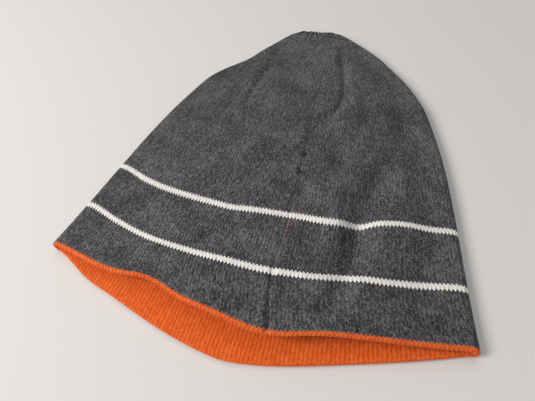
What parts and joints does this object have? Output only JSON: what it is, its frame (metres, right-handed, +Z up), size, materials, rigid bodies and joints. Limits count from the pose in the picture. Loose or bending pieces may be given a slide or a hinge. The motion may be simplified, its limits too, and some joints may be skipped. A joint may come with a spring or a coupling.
{
  "type": "knit beanie",
  "caption": "Lined knit beanie lying flat, dark shell with light stripes and a bright lining turned out at the brim; its mouth opens to go over a head.",
  "frame": {"origin": "on the table, midway between the two brim corners", "axes": "+X along the brim, +Y from the brim to the crown, +Z up from the table; the back seam side is up"},
  "size_m": [0.2094, 0.2309, 0.0144],
  "materials": {
    "shell_knit": "charcoal heather fine jersey knit, matt and slightly fuzzy",
    "stripe_knit": "cream jersey knit, matt",
    "lining_knit": "orange fine jersey knit, matt",
    "seam_thread": "orange sewing thread",
    "dark_thread": "dark sewing thread"
  },
  "bodies": {
    "front": {"front_brim_edge": "lining_knit", "front_lower_band": "shell_knit", "front_lower_stripe": "stripe_knit", "front_middle_band": "shell_knit", "front_upper_stripe": "stripe_knit", "front_upper_band": "shell_knit", "front_left_side_gore": "shell_knit", "front_left_gore": "shell_knit", "front_right_gore": "shell_knit", "front_right_side_gore": "shell_knit", "front_dart_threads": "dark_thread", "front_lining": "lining_knit", "front_crown_closing": "dark_thread"},
    "back": {"back_left_brim_edge": "lining_knit", "back_right_brim_edge": "lining_knit", "back_left_lower_band": "shell_knit", "back_right_lower_band": "shell_knit", "back_left_lower_stripe": "stripe_knit", "back_right_lower_stripe": "stripe_knit", "back_left_middle_band": "shell_knit", "back_right_middle_band": "shell_knit", "back_left_upper_stripe": "stripe_knit", "back_right_upper_stripe": "stripe_knit", "back_left_upper_band": "shell_knit", "back_right_upper_band": "shell_knit", "back_left_side_gore": "shell_knit", "back_left_gore": "shell_knit", "back_right_gore": "shell_knit", "back_right_side_gore": "shell_knit", "back_left_lining": "lining_knit", "back_right_lining": "lining_knit", "back_seam_thread": "seam_thread", "back_lining_seam_thread": "seam_thread", "back_dart_threads": "dark_thread", "turning_gap_stitches": "dark_thread", "back_crown_closing": "dark_thread"}
  },
  "joints": [
    {"name": "mouth_open", "type": "hinge", "parent": "front", "child": "back", "pos_m": [0, 0.2, 0.0032], "axis": [-1, 0, 0], "range_deg": [0, 24]}
  ]
}
